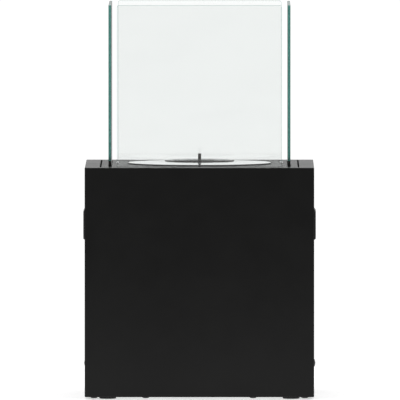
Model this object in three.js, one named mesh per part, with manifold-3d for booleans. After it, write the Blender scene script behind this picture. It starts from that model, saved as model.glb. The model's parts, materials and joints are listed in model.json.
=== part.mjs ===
// Outdoor gas heater: a cubic steel casing with a burner in its top and four panes of glass round the flame.
// Millimetres, +Z up. The front faces -Y. The gas bottle stands inside, behind a door in the rear.
import * as THREE from "three";
import { RoundedBoxGeometry } from "three/addons/geometries/RoundedBoxGeometry.js";
import { mergeVertices } from "three/addons/utils/BufferGeometryUtils.js";
import Module from "manifold-3d";

const wasm = await Module();
wasm.setup();

// ---- Driving dimensions ----

// Casing, measured over the folded sheet. Heights are counted from its lower edge.
const casingWidth = 500;
const casingDepth = 500;
const casingHeight = 500;
const sheet = 2; // steel sheet of the casing, door and plates
const foldRadius = 2; // outside radius of the casing's folded edges
const seatGap = 0.3; // between two pieces that rest on each other
const floorGap = 5; // height of the casing's lower edge above the floor
const rimWidth = 32.5; // top return round the burner plate
const rimLip = 14; // down-fold on the inner edge of the top return
const bottomReturn = 22;
const rearReturn = 18;
const rearNotch = 40; // the lower rear edge is cut away at 45 degrees, so that the heater tips on its wheels
const baseFold = 12; // up-fold on the base plate's rear edge
const baseVentLength = 90;
const baseVentWidth = 12;
const baseVentPitch = 80;

// Burner plate, let into the casing's top
const plateGroove = 3; // seam round the plate
const plateSkirt = 20; // down-fold on the plate's edges
const plateFoldRadius = 1.5;
const supportShelf = 43; // reach of the support frame from the casing's wall
const supportLeg = 18; // height of the support frame's wall leg

// Glass
const glassThickness = 6;
const glassAbove = 352; // shown above the burner plate
const glassBelow = 26; // held in the channel
const glassInset = 51.5; // outer face of a pane from the casing's side
const cornerGap = 12.5; // edge of one pane to the inner face of the next
const glassPlay = 0.5; // each side of a pane in its channel
const slotPlay = 0.75; // each side of a pane in the plate's slot
const slotOver = 1; // slot's end beyond the pane
const paneCorner = 4; // radius of a pane's corners
const channelWall = 1.5;
const channelOver = 3; // channel's end beyond the pane
const tabWidth = 60; // the channel's screw tab
const tabReach = 20;
const tabScrewReach = 13; // screw from the pane's inner face

// Burner trim ring and bowl. Heights are above the burner plate.
const ringToGlass = 35.5; // ring's edge to the nearest pane
const ringMouthRadius = 68;
const ringEdgeLow = 0.9; // shadow gap under the ring's edge
const ringEdgeHigh = 3.1;
const ringShoulder = 6.7; // top of the cone, at the foot of the bead
const ringCrown = 8.9; // top of the bead round the mouth
const ringBead = 8; // width of the bead
const ringSheet = 1.2;
const ringOverhang = 31; // ring's edge beyond the bowl's wall
const bowlPlay = 2; // bowl's wall in the plate's hole
const bowlDepth = 45;
const bowlSheet = 1.2;
const bowlFlange = 14;
const bowlCorner = 8;
const ringSkirtInset = 5; // ring's skirt from the edge of the bowl's flange
const ringCollar = 8; // the mouth's collar below the burner plate
const passPlay = 0.4; // round what passes through the bowl's floor

// Annular burner in the bowl, and what stands in its centre
const annulusRadius = 40; // middle of the burner's tube
const annulusTube = 16; // side of the burner's tube
const annulusPorts = 12;
const portSize = 3;
const sensorRadius = 3.5;
const sensorTop = 22.6; // above the burner plate
const electrodeReach = 22; // electrode from the centre
const electrodeRadius = 3;
const electrodeFoot = 8; // below the bowl
const mixerRadius = 11; // mixing tube
const mixerWall = 1.5;
const mixerDrop = 17; // its axis below the bowl
const mixerPlay = 0.6; // round the mixing tube in the bowl and the burner
const mixerIntoBurner = 4; // reach of the mixing tube above the bowl's floor
const injectorRadius = 5;
const pipeRadius = 4;
const sensorLeadRadius = 1.3;
const sparkLeadRadius = 2;

// Heat shield between the burner and the bottle bay
const shieldGap = 7.8; // between the mixing tube and the shield
const shieldSheet = 1.2;
const shieldLip = 12;

// Door in the rear panel
const doorPost = 70; // rear panel beside the door
const doorSill = 28; // rear panel below the door
const doorHead = 108; // rear panel above the door
const doorPlay = 2; // gap round the door
const doorFold = 12; // in-folded edges of the door and of its opening
const ventLength = 56;
const ventHeight = 5;
const ventPitch = 14;
const ventRows = 3;
const ventGap = 12; // between the ends of two vents in a row
const ventMargin = 24; // first row of vents from the door's top or bottom
const upperVentX = 30; // vents above the door, from the middle

// Door hinges and latch
const knuckleRadius = 4;
const hingePinRadius = 2;
const hingeHeight = 60;
const hingeFromEdge = 60; // hinge's middle from the door's top or bottom
const leafReach = 22;
const leafGap = 2.2; // leaf's inner edge from the hinge axis
const runningGap = 0.4; // between the faces of pieces that turn or slide on each other
const pinFit = 0.05; // radial clearance of pins, spindles and stems in their bores
const latchInset = 28; // latch axis from the door's free edge
const latchStemRadius = 5;
const latchStemLength = 14; // behind the door's skin
const latchDiscRadius = 13;
const latchDiscHeight = 6;
const latchGripLength = 28;
const latchGripReach = 20; // grip's face from the door
const latchCamLength = 44;
const latchCamWidth = 16;
const latchCamSheet = 3;

// Controls in the rear panel
const controlFromSide = 118; // middle of the control panel from the casing's side
const controlDrop = 50; // middle of the control panel below the casing's top
const controlWidth = 140;
const controlHeight = 64;
const controlThickness = 2.5;
const controlPitch = 64; // knob axis to igniter axis
const controlCorner = 8;
const valveSetback = 40; // middle of the valve body from the rear
const valveHalf = 20;
const valveHalfWidth = 18;
const valveBossRadius = 11;
const valveOutletRadius = 7;
const valveOutletReach = 30; // from the knob's axis
const sleeveRadius = 6; // slides in the valve's boss and turns with nothing
const sleeveHole = 8;
const spindleRadius = 4;
const nippleLength = 38;
const hoseRadius = 3.8; // nipple's radius between its barbs
const knobRadius = 20;
const knobReach = 32; // knob's face from the rear panel
const knobTravel = 3;
const knobGrip = 10; // width and height of the bar across the knob
const spindleInKnob = 14;
const buttonRadius = 8;
const buttonProud = 9;
const igniterLength = 31; // behind the rear panel's outer face
const igniterBore = 24;
const igniterWall = 2;
const igniterCollar = 4.5; // collar beyond the button's radius
const igniterPlay = 0.5; // round the housing in the panels
const buttonTravel = 5;

// Feet and wheels
const footRadius = 18.7;
const footFromSide = 50;
const footFromFront = 50;
const rearFootFromSide = 100;
const rearFootFromRear = 100;
const wheelRadius = 55;
const wheelFloorGap = 3; // the wheels meet the floor when the heater is tipped back
const wheelPlay = 4; // between a wheel and the metal round it
const tyreWidth = 26;
const tyreDepth = 10;
const wheelSides = 24; // flats round a wheel
const wheelFromSide = 37; // middle of the tyre from the casing's side
const wheelFromRear = 35;
const axleRadius = 4;
const axleHeadRadius = 10;
const axleHeadHeight = 4.6;
const axleShankPlay = 0.5; // round the axle in the casing's wall
const wheelBoreFit = 0.1; // radial clearance of the wheel on its axle
const hubRadius = 10;
const wheelWeb = 8; // thickness of the wheel's disc
const wheelHoles = 5;
const wheelHoleRadius = 8;
const wheelHoleCircle = 27;
const bracketReach = 34; // foot of the wheel bracket on the base plate
const bracketFront = 50; // bracket's front edge from the axle
const bracketTop = 18; // bracket's top and rear edges from the axle
const weldNutRadius = 7.2;
const weldNutHeight = 7;

// Carry handles in the sides
const handleLength = 130;
const handleHeight = 68.8;
const handleProud = 4.1;
const handleDrop = 131; // middle of the handle below the casing's top
const pocketLength = 100;
const pocketHeight = 40;
const pocketDepth = 26;
const pocketWall = 2.5;
const handleCorner = 14;
const handleTopTaper = 5.5;
const handleFootTaper = 3;

// Screws
const baseBoltHeadRadius = 7.75;
const baseBoltHeadHeight = 2.2;
const baseBoltRadius = 3;
const baseBoltTip = 6; // above the base plate
const boltPlay = 0.3; // round a screw's shank
const baseBoltInset = 11; // from the casing's front
const baseBoltOuter = 20.5; // from the casing's side
const baseBoltInner = 133;
const tabScrewRadius = 1.5;
const tabScrewHead = 2.75; // its radius
const tabScrewRise = 5.2; // top of the head above the plate

// ---- Places that several pieces share ----

const halfWidth = casingWidth / 2;
const halfDepth = casingDepth / 2;
const panelFront = halfDepth - sheet; // front face of the rear panel
const wrapRear = panelFront - seatGap;
const wallX = halfWidth - sheet; // inner face of a side wall
const wallFront = -halfDepth + sheet;
const wallRear = wrapRear - sheet; // inner face of the casing's rear return
const plateTop = casingHeight;
const plateHalfX = halfWidth - rimWidth - plateGroove;
const plateHalfY = halfDepth - rimWidth - plateGroove;
const paneX = halfWidth - glassInset - glassThickness / 2; // middle of a side pane
const paneY = halfDepth - glassInset - glassThickness / 2;
const frontPaneWidth = 2 * (paneX - glassThickness / 2 - cornerGap);
const sidePaneWidth = 2 * (paneY - glassThickness / 2 - cornerGap);
const ringRadius = Math.min(paneX, paneY) - glassThickness / 2 - ringToGlass;
const bowlRadius = ringRadius - ringOverhang;
const plateHole = bowlRadius + bowlPlay;
const bowlFloor = plateTop - bowlDepth; // underside of the bowl's floor
const basePlateZ = sheet + seatGap;
const basePlateTop = basePlateZ + sheet;
const doorX = halfWidth - doorPost; // half the door opening
const doorLow = rearNotch + doorSill;
const doorHigh = casingHeight - doorHead;
const hingeX = doorX + 1;
const hingeY = halfDepth + seatGap + knuckleRadius;
const latchX = -doorX + doorPlay + latchInset;
const latchZ = (doorLow + doorHigh) / 2;
const latchStemEnd = sheet + latchStemLength; // from the door's outer face
const hingeHalf = hingeHeight / 2;
const knuckleEnd = hingeHeight / 6; // end of the middle knuckle from the hinge's middle
const controlX = -halfWidth + controlFromSide;
const controlZ = casingHeight - controlDrop;
const controlFace = halfDepth + seatGap + controlThickness;
const knobRear = controlFace + knobTravel + 2;
const igniterRadius = buttonRadius + igniterWall;
const knobX = controlX - controlPitch / 2;
const buttonX = controlX + controlPitch / 2;
const buttonRear = halfDepth - igniterBore + buttonTravel + 1;
const axleY = halfDepth - wheelFromRear;
const axleZ = wheelRadius + wheelFloorGap - floorGap;
const basePlateRear = halfDepth - rearNotch - 5;
const wheelX = halfWidth - wheelFromSide;
const bracketX = wheelX - tyreWidth / 2 - 4; // outer face of the wheel bracket
const handleZ = casingHeight - handleDrop;
const mixerZ = bowlFloor - mixerDrop;
const shieldZ = mixerZ - mixerRadius - shieldGap - shieldSheet;
const valveY = halfDepth - valveSetback;
const injectorY = valveY - 70; // middle of the injector
const injectorRear = injectorY + 18;
const over = 1; // how far a cutting shape runs past the faces that it cuts

// ---- Materials ----

const finish = (color, roughness, metalness = 0, more = {}) =>
  new THREE.MeshStandardMaterial({ color, roughness, metalness, ...more });
const blackPaint = finish(0x1f1f1e, 0.45);
const polishedSteel = finish(0xd6d8d6, 0.08, 1);
const brushedSteel = finish(0xa9aba8, 0.35, 1);
const zincSteel = finish(0xb4b6b2, 0.4, 1);
const darkSteel = finish(0x3a3c39, 0.5, 1);
const clearGlass = finish(0xdfeee8, 0.02, 0, { transparent: true, opacity: 0.35 });
const blackPlastic = finish(0x191919, 0.55);
const blackRubber = finish(0x141414, 0.85);
const brass = finish(0xb5964f, 0.3, 1);
const copper = finish(0xa8623c, 0.35, 1);
const ceramic = finish(0xe6e2d8, 0.5);
const silicone = finish(0x5a1a16, 0.6);

// ---- Shape helpers ----

// A three.js geometry as a manifold-3d solid.
function solidOf(geometry) {
  const bare = geometry.clone();
  bare.deleteAttribute("normal");
  bare.deleteAttribute("uv");
  const merged = mergeVertices(bare, 1e-4);
  const mesh = new wasm.Mesh({
    numProp: 3,
    vertProperties: merged.attributes.position.array,
    triVerts: new Uint32Array(merged.index.array),
  });
  return new wasm.Manifold(mesh);
}

// A manifold-3d solid as a flat-shaded three.js geometry.
function geometryOf(solid) {
  const mesh = solid.getMesh();
  const geometry = new THREE.BufferGeometry();
  geometry.setAttribute("position", new THREE.BufferAttribute(mesh.vertProperties, mesh.numProp));
  geometry.setIndex(new THREE.BufferAttribute(mesh.triVerts, 1));
  const flat = geometry.toNonIndexed();
  flat.computeVertexNormals();
  return flat;
}

const join = (...solids) => solids.reduce((all, one) => all.add(one));
const cut = (solid, ...tools) => tools.reduce((left, tool) => left.subtract(tool), solid);

// A box between two corners, each given as [x, y, z].
function block([x0, y0, z0], [x1, y1, z1]) {
  const geometry = new THREE.BoxGeometry(x1 - x0, y1 - y0, z1 - z0);
  return solidOf(geometry.translate((x0 + x1) / 2, (y0 + y1) / 2, (z0 + z1) / 2));
}

// A box between two corners with every edge rounded.
function softBlock([x0, y0, z0], [x1, y1, z1], radius, steps = 1) {
  const geometry = new RoundedBoxGeometry(x1 - x0, y1 - y0, z1 - z0, steps, radius);
  return solidOf(geometry.translate((x0 + x1) / 2, (y0 + y1) / 2, (z0 + z1) / 2));
}

// A round rod between two values along axis "x", "y" or "z", through the point [a, b] of the other two axes.
function rod(axis, radius, from, to, [a, b] = [0, 0], sides = 20) {
  const geometry = new THREE.CylinderGeometry(radius, radius, to - from, sides);
  const middle = (from + to) / 2;
  if (axis === "x") geometry.rotateZ(-Math.PI / 2).translate(middle, a, b);
  if (axis === "y") geometry.translate(a, middle, b);
  if (axis === "z") geometry.rotateX(Math.PI / 2).translate(a, b, middle);
  return solidOf(geometry);
}

// A solid turned about Z from a profile of [radius, height] points, listed counterclockwise.
function turned(profile, sides) {
  const points = profile.map(([radius, height]) => new THREE.Vector2(radius, height));
  const closed = profile[0][0] > 0 ? [...points, points[0].clone()] : points;
  return solidOf(new THREE.LatheGeometry(closed, sides).rotateX(Math.PI / 2));
}

// A round tube or lead of the given radius along a smooth line through [x, y, z] points.
function alongPath(points, radius, steps, sides) {
  const path = new THREE.CatmullRomCurve3(points.map((p) => new THREE.Vector3(...p)), false, "centripetal");
  const section = new THREE.Shape();
  for (let i = 0; i < sides; i++) {
    const angle = (2 * Math.PI * i) / sides;
    const corner = [radius * Math.cos(angle), radius * Math.sin(angle)];
    if (i === 0) section.moveTo(...corner);
    else section.lineTo(...corner);
  }
  return solidOf(new THREE.ExtrudeGeometry(section, { extrudePath: path, steps, bevelEnabled: false }));
}

// An outline of [x, y] points extruded along +Z.
function extruded(outline, length) {
  const shape = new THREE.Shape(outline.map(([x, y]) => new THREE.Vector2(x, y)));
  return solidOf(new THREE.ExtrudeGeometry(shape, { depth: length, bevelEnabled: false }));
}

// A rectangle's outline with rounded corners, centred on [0, 0].
function roundedOutline(width, height, radius, steps = 3) {
  const points = [];
  for (let corner = 0; corner < 4; corner++) {
    const sx = corner === 0 || corner === 3 ? 1 : -1;
    const sy = corner < 2 ? 1 : -1;
    for (let i = 0; i <= steps; i++) {
      const angle = (Math.PI / 2) * (corner + i / steps);
      const x = sx * (width / 2 - radius) + radius * Math.cos(angle);
      points.push([x, sy * (height / 2 - radius) + radius * Math.sin(angle)]);
    }
  }
  return points;
}

const heater = new THREE.Group();
heater.name = "outdoor_heater";
const casing = new THREE.Group(); // its origin is the middle of the casing's lower edge
casing.position.set(0, -knobReach / 2, floorGap); // the heater's own origin is the middle of its footprint
heater.add(casing);

// Adds a named piece to a group and returns it, so that it can be placed.
function piece(name, solid, material, group = casing) {
  const mesh = new THREE.Mesh(geometryOf(solid), material);
  mesh.name = name;
  group.add(mesh);
  return mesh;
}

// ---- Casing ----

// Front, two sides and all the returns, folded from one sheet.
function casingWrap() {
  const outer = softBlock([-halfWidth, -halfDepth, 0], [halfWidth, wrapRear, casingHeight], foldRadius, 2);
  const inner = block([-wallX, wallFront, sheet], [wallX, wallRear, casingHeight - sheet]);
  const rimX = halfWidth - rimWidth;
  const rimY = halfDepth - rimWidth;
  const lipLow = casingHeight - sheet - rimLip;
  const lipHigh = casingHeight - sheet / 2;
  const lip = block([-rimX - sheet, -rimY - sheet, lipLow], [rimX + sheet, rimY + sheet, lipHigh]);
  const topHole = block([-rimX, -rimY, lipLow - over], [rimX, rimY, casingHeight + over]);
  const bottomX = halfWidth - bottomReturn;
  const bottomY = halfDepth - bottomReturn;
  const bottomHole = block([-bottomX, -bottomY, -over], [bottomX, bottomY, sheet + over]);
  const rearX = halfWidth - rearReturn;
  const rearHole = block([-rearX, wallRear - over, -over], [rearX, halfDepth, casingHeight - rearReturn]);
  const boltHole = baseBoltRadius + boltPlay;
  const holes = baseBoltPlaces.map((place) => rod("z", boltHole, -over, sheet + over, place, 12));
  for (const [low, high] of [[-halfWidth - over, -wallX + over], [wallX - over, halfWidth + over]]) {
    holes.push(rod("x", axleRadius + axleShankPlay, low, high, [axleY, axleZ], 16));
    const y = pocketLength / 2 + over;
    const z = pocketHeight / 2 + pocketWall + over;
    holes.push(block([low, -y, handleZ - z], [high, y, handleZ + z]));
  }
  return cut(join(outer.subtract(inner), lip), topHole, bottomHole, rearHole, rearNotchTool(), ...holes);
}

// Prism that cuts off the casing's lower rear edge.
function rearNotchTool() {
  const front = halfDepth - rearNotch - over;
  const side = [[front, -over], [halfDepth + over, -over], [halfDepth + over, rearNotch + over]];
  return extruded(side, casingWidth + 2 * over).rotate([90, 0, 90]).translate([-halfWidth - over, 0, 0]);
}

// Plate inside the casing's foot, which carries the feet, the wheels and the gas bottle.
function basePlate() {
  const edgeX = wallX - seatGap;
  const plate = block([-edgeX, wallFront + seatGap, basePlateZ], [edgeX, basePlateRear, basePlateTop]);
  const foldX = bracketX - bracketReach - 10;
  const foldTop = basePlateTop + baseFold;
  const foldUp = block([-foldX, basePlateRear - sheet, basePlateZ], [foldX, basePlateRear, foldTop]);
  const low = basePlateZ - over;
  const high = basePlateTop + over;
  const tools = baseBoltPlaces.map((place) => rod("z", baseBoltRadius + boltPlay, low, high, place, 12));
  for (const side of [-1, 1]) {
    const half = (tyreWidth + wheelPlay) / 2;
    const front = axleY - wheelRadius - wheelPlay;
    tools.push(block([side * wheelX - half, front, low], [side * wheelX + half, basePlateRear + over, high]));
    for (const row of [-1, 0, 1]) {
      const x = side * baseVentPitch;
      const y = row * baseVentPitch;
      const ventX = baseVentLength / 2;
      tools.push(block([x - ventX, y - baseVentWidth / 2, low], [x + ventX, y + baseVentWidth / 2, high]));
    }
  }
  return cut(join(plate, foldUp), ...tools);
}

// ---- Burner plate, its support and the glass ----

function burnerPlate() {
  const low = plateTop - plateSkirt;
  const deep = low - 5; // the rounded block's lower edges are cut off
  const high = plateTop + over;
  const corner = [plateHalfX, plateHalfY, plateTop];
  const outer = softBlock([-plateHalfX, -plateHalfY, deep], corner, plateFoldRadius);
  const innerX = plateHalfX - sheet;
  const innerY = plateHalfY - sheet;
  const inner = block([-innerX, -innerY, deep - over], [innerX, innerY, plateTop - sheet]);
  const belowX = plateHalfX + over;
  const belowY = plateHalfY + over;
  const below = block([-belowX, -belowY, deep - over], [belowX, belowY, low]);
  const tools = [inner, below, rod("z", plateHole, low, high, [0, 0], 40)];
  const half = glassThickness / 2 + slotPlay;
  const endX = frontPaneWidth / 2 + slotOver;
  const endY = sidePaneWidth / 2 + slotOver;
  for (const side of [-1, 1]) {
    tools.push(block([-endX, side * paneY - half, low], [endX, side * paneY + half, high]));
    tools.push(block([side * paneX - half, -endY, low], [side * paneX + half, endY, high]));
    const screwX = side * (paneX - glassThickness / 2 - tabScrewReach);
    const screwY = side * (paneY - glassThickness / 2 - tabScrewReach);
    for (const place of [[screwX, 0], [0, screwY]]) {
      tools.push(rod("z", tabScrewRadius + boltPlay, low, high, place, 12));
    }
  }
  return cut(outer, ...tools);
}

// Angle frame on the casing's walls, under the burner plate's skirt.
function plateSupport() {
  const top = plateTop - plateSkirt - seatGap;
  const foot = top - supportLeg;
  const outX = wallX - seatGap;
  const frontY = wallFront + seatGap;
  const rearY = wallRear - seatGap;
  const frame = block([-outX, frontY, foot], [outX, rearY, top]);
  const underX = outX - sheet;
  const under = block([-underX, frontY + sheet, foot - over], [underX, rearY - sheet, top - sheet]);
  const openX = wallX - supportShelf;
  const openY = halfDepth - sheet - supportShelf;
  return cut(frame, under, block([-openX, -openY, foot - over], [openX, openY, top + over]));
}

// A pane standing on its lower edge along X, its lower edge at z = 0.
function pane(width) {
  const height = glassAbove + glassBelow;
  const outline = roundedOutline(width, height, paneCorner, 2);
  const solid = extruded(outline, glassThickness);
  return solid.translate([0, height / 2, -glassThickness / 2]).rotate([90, 0, 0]);
}

// U-shaped channel along X that holds a pane's lower edge, its mouth at z = 0, with a screw tab towards +Y.
function glassChannel(width) {
  const end = width / 2 + channelOver;
  const inner = glassThickness / 2 + glassPlay;
  const outer = inner + channelWall;
  const low = -(glassBelow - sheet) - channelWall;
  const channel = block([-end, -outer, low], [end, outer, 0]);
  const trough = block([-end - over, -inner, low + channelWall], [end + over, inner, over]);
  const tabX = tabWidth / 2;
  const tab = block([-tabX, inner + channelWall / 2, -channelWall], [tabX, outer + tabReach, 0]);
  const place = [0, glassThickness / 2 + tabScrewReach];
  const screw = rod("z", tabScrewRadius + boltPlay, -channelWall - over, over, place, 12);
  return cut(join(channel.subtract(trough), tab), screw);
}

// Pan-head screw through the plate and the channel's tab; its head rests on z = 0.
function tabScrew() {
  const head = [[0, -9], [tabScrewRadius, -9], [tabScrewRadius, seatGap], [tabScrewHead, seatGap]];
  const top = tabScrewRise;
  const crown = [[tabScrewHead, top - 1.2], [tabScrewHead - 1, top - 0.2], [0, top]];
  return turned([...head, ...crown], 12);
}

// ---- Burner ----

// Polished trim ring: a curled edge, a low cone and a bead round the mouth, on a skirt that stands on the
// bowl's flange.
function burnerRing() {
  const edge = ringRadius;
  const mouth = ringMouthRadius;
  const shoulder = mouth + ringBead;
  const skirt = bowlRadius + bowlFlange - ringSkirtInset;
  const skirtIn = skirt - ringSheet;
  const skirtFoot = 2 * seatGap + bowlSheet;
  const slope = (ringShoulder - ringEdgeHigh) / (edge - shoulder);
  const under = (radius) => ringEdgeHigh - ringSheet + slope * (edge - radius);
  const foot = edge - ringSheet;
  const curl = [[foot, ringEdgeLow], [edge - 0.2, ringEdgeLow + 0.2], [edge, ringEdgeHigh - 0.8]];
  const cone = [[edge - 0.8, ringEdgeHigh], [shoulder, ringShoulder]];
  const bead = [[shoulder - 0.2, ringCrown - 0.7], [shoulder - 1, ringCrown], [mouth + 2, ringCrown - 0.4]];
  const inside = mouth + ringSheet;
  const lip = [[mouth, ringCrown - 2.4], [mouth, -ringCollar], [inside, -ringCollar]];
  const roof = [[inside, under(shoulder)], [shoulder, under(shoulder)]];
  const below = [...roof, [skirtIn, under(skirt)], [skirtIn, skirtFoot]];
  const back = [[skirt, skirtFoot], [skirt, under(skirt)], [foot - 0.2, under(edge)]];
  return turned([...curl, ...cone, ...bead, ...lip, ...below, ...back], 40);
}

// Bowl that hangs in the plate's hole and holds the burner.
function burnerBowl() {
  const low = -bowlDepth;
  const flangeTop = seatGap + bowlSheet;
  const flangeEdge = bowlRadius + bowlFlange;
  const inner = bowlRadius - bowlSheet;
  const bend = low + bowlCorner;
  const outside = [[0, low], [bowlRadius - bowlCorner, low], [bowlRadius, bend], [bowlRadius, seatGap]];
  const flange = [[flangeEdge, seatGap], [flangeEdge, flangeTop], [inner, flangeTop]];
  const inside = [[inner, bend], [inner - bowlCorner, low + bowlSheet], [0, low + bowlSheet]];
  const hole = (radius, place) => rod("z", radius, low - over, low + bowlSheet + over, place, 12);
  const mixerHole = hole(mixerRadius + mixerPlay, [0, annulusRadius]);
  const sensorHole = hole(sensorRadius + passPlay, [0, 0]);
  const electrodeHole = hole(electrodeRadius + passPlay, [electrodeReach, 0]);
  return cut(turned([...outside, ...flange, ...inside], 32), mixerHole, sensorHole, electrodeHole);
}

// Square-section ring with gas ports in its top.
function burnerAnnulus() {
  const half = annulusTube / 2;
  const inner = annulusRadius - half;
  const outer = annulusRadius + half;
  const ease = 2;
  const profile = [[inner, 0], [outer, 0], [outer, annulusTube - ease], [outer - ease, annulusTube]];
  profile.push([inner + ease, annulusTube], [inner, annulusTube - ease]);
  const ports = [];
  for (let i = 0; i < annulusPorts; i++) {
    const angle = (2 * Math.PI * i) / annulusPorts;
    const place = [annulusRadius * Math.cos(angle), annulusRadius * Math.sin(angle)];
    ports.push(rod("z", portSize / 2, annulusTube - portSize, annulusTube + over, place, 4));
  }
  const mouth = rod("z", mixerRadius + mixerPlay, -over, mixerIntoBurner + 2, [0, annulusRadius], 12);
  return cut(turned(profile, 24), mouth, ...ports);
}

// Flame sensor: a plain sheathed rod with a nut under the bowl. Its top is at z = 0.
function flameSensor() {
  const foot = -(sensorTop + bowlDepth);
  const nut = rod("z", 6, foot - 6, foot - seatGap, [0, 0], 6);
  return join(rod("z", sensorRadius, foot - 5, 0, [0, 0], 20), nut);
}

// Ceramic-sleeved spark electrode with its wire bent over the burner. Its foot is at z = 0.
function sparkElectrode() {
  const neck = electrodeRadius - 0.8;
  const body = [[electrodeRadius, -electrodeFoot], [electrodeRadius, 26], [neck, 30]];
  const profile = [[0, -electrodeFoot], ...body, [0, 30]];
  const wire = alongPath([[0, 0, 28], [0, 0, 34], [-1.5, 0, 39], [-6, 0, 42], [-12, 0, 43]], 1, 6, 6);
  return join(turned(profile, 12), wire);
}

// Mixing tube: up into the annulus at one end, its open mouth at the rear.
function mixingTube() {
  const top = bowlFloor + bowlSheet + mixerIntoBurner;
  const rear = injectorY - 4;
  const bend = mixerRadius + 1;
  const upright = rod("z", mixerRadius, mixerZ, top, [0, annulusRadius], 16);
  const elbow = turned([[0, -mixerRadius], [bend, -mixerRadius], [bend, mixerRadius], [0, mixerRadius]], 16);
  const run = rod("y", mixerRadius, annulusRadius, rear, [0, mixerZ], 16);
  const bore = rod("y", mixerRadius - mixerWall, annulusRadius + 6, rear + over, [0, mixerZ], 16);
  const airWay = block([-bend, rear - 20, mixerZ - 4], [bend, rear - 8, mixerZ + 4]);
  return cut(join(upright, run, elbow.translate([0, annulusRadius, mixerZ])), bore, airWay);
}

// Brass injector at the mixing tube's mouth.
function injector() {
  const stem = rod("y", injectorRadius, injectorY - 10, injectorRear, [0, mixerZ], 16);
  const hex = rod("y", 9, injectorY + 4, injectorY + 16, [0, mixerZ], 6);
  return join(stem, hex);
}

// Folded plate that keeps the flame's heat from the bottle bay.
function heatShield() {
  const outX = wallX - seatGap;
  const frontY = wallFront + seatGap;
  const rearY = wallRear - seatGap;
  const lip = shieldZ + shieldLip;
  const tray = block([-outX, frontY, shieldZ], [outX, rearY, lip]);
  const floor = shieldZ + shieldSheet;
  const inX = outX - shieldSheet;
  const hollow = block([-inX, frontY + shieldSheet, floor], [inX, rearY - shieldSheet, lip + over]);
  const hoseHole = rod("z", 12, shieldZ - over, floor + over, [knobX, valveY], 20);
  const sillX = halfWidth - rearReturn;
  const sill = block([-sillX, rearY - shieldSheet - over, floor], [sillX, rearY + over, lip + over]);
  return cut(tray, hollow, hoseHole, sill);
}

// ---- Gas controls ----

// Valve body: an inlet below, an outlet at its side and a bore for the knob's sleeve.
function valveBody() {
  const low = controlZ - valveHalf;
  const high = controlZ + valveHalf;
  const leftX = knobX - valveHalfWidth;
  const rightX = knobX + valveHalfWidth;
  const body = block([leftX, valveY - valveHalf, low], [rightX, valveY + valveHalf, high]);
  const boss = rod("y", valveBossRadius, valveY, panelFront - 4, [knobX, controlZ], 16);
  const outlet = rod("x", valveOutletRadius, knobX, knobX + valveOutletReach, [valveY, mixerZ], 6);
  const bore = rod("y", sleeveRadius + pinFit, valveY + 4, halfDepth, [knobX, controlZ], 20);
  return cut(join(body, boss, outlet, inletNipple()), bore);
}

// Barbed nipple under the valve, where the hose from the gas bottle pushes on.
function inletNipple() {
  const top = controlZ - valveHalf + over;
  const foot = top - nippleLength;
  const barb = hoseRadius + 1;
  const hex = hoseRadius + 4.2;
  const profile = [[0, foot], [hoseRadius, foot]];
  for (const low of [foot + 4, foot + 10]) {
    profile.push([barb, low], [hoseRadius, low + 0.5]);
  }
  profile.push([hoseRadius, top - 14], [hex, top - 13], [hex, top - 5]);
  profile.push([hex - 2, top - 4], [hex - 2, top], [0, top]);
  const gasWay = rod("z", 2.2, foot - over, top - 16, [0, 0], 10);
  return cut(turned(profile, 12), gasWay).translate([knobX, valveY, 0]);
}

// Plate round the knob and the igniter.
function controlPanel() {
  const plate = extruded(roundedOutline(controlWidth, controlHeight, controlCorner), controlThickness);
  const placed = plate.rotate([90, 0, 0]).translate([controlX, controlFace, controlZ]);
  const low = halfDepth - over;
  const high = controlFace + over;
  const knobHole = rod("y", sleeveHole, low, high, [knobX, controlZ], 24);
  const buttonHole = rod("y", igniterRadius + igniterPlay, low, high, [buttonX, controlZ], 24);
  return cut(placed, knobHole, buttonHole);
}

// Sleeve that slides in the valve's boss and carries the spindle. Its axis is y.
function valveSleeve() {
  const sleeve = rod("y", sleeveRadius, valveY + 8, knobRear - runningGap, [0, 0], 20);
  return sleeve.subtract(rod("y", spindleRadius + pinFit, valveY, knobRear, [0, 0], 20));
}

// Knob with a grip bar across its face. Its axis is y, its rear face at y = 0.
function knob() {
  const length = halfDepth + knobReach - knobRear;
  const face = length - knobGrip;
  const edge = knobRadius - 2;
  const profile = [[0, 0], [knobRadius, 0], [knobRadius, face - 2], [edge, face], [0, face]];
  const disc = turned(profile, 32).rotate([-90, 0, 0]);
  const bar = softBlock([-knobGrip / 2, face - over, -edge], [knobGrip / 2, length, edge], 2);
  const socket = rod("y", spindleRadius + seatGap, -over, spindleInKnob + seatGap, [0, 0], 16);
  return cut(join(disc, bar), socket);
}

// Piezo igniter housing: a collar outside the panel and a blind bore for the button.
function igniterHousing() {
  const rear = controlFace + seatGap;
  const high = rear + 2.5;
  const tube = rod("y", igniterRadius, halfDepth - igniterLength, high - 0.5, [buttonX, controlZ], 24);
  const collar = rod("y", buttonRadius + igniterCollar, rear, high, [buttonX, controlZ], 24);
  const bore = rod("y", buttonRadius + pinFit, halfDepth - igniterBore, high + over, [buttonX, controlZ], 24);
  return cut(join(tube, collar), bore);
}

// Push button, its rear face at y = 0.
function igniterButton() {
  const length = halfDepth + buttonProud - buttonRear;
  const ease = 1.5;
  const face = [[buttonRadius, length - ease], [buttonRadius - ease, length], [0, length]];
  return turned([[0, 0], [buttonRadius, 0], ...face], 24).rotate([-90, 0, 0]);
}

// ---- Rear panel and door ----

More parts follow.
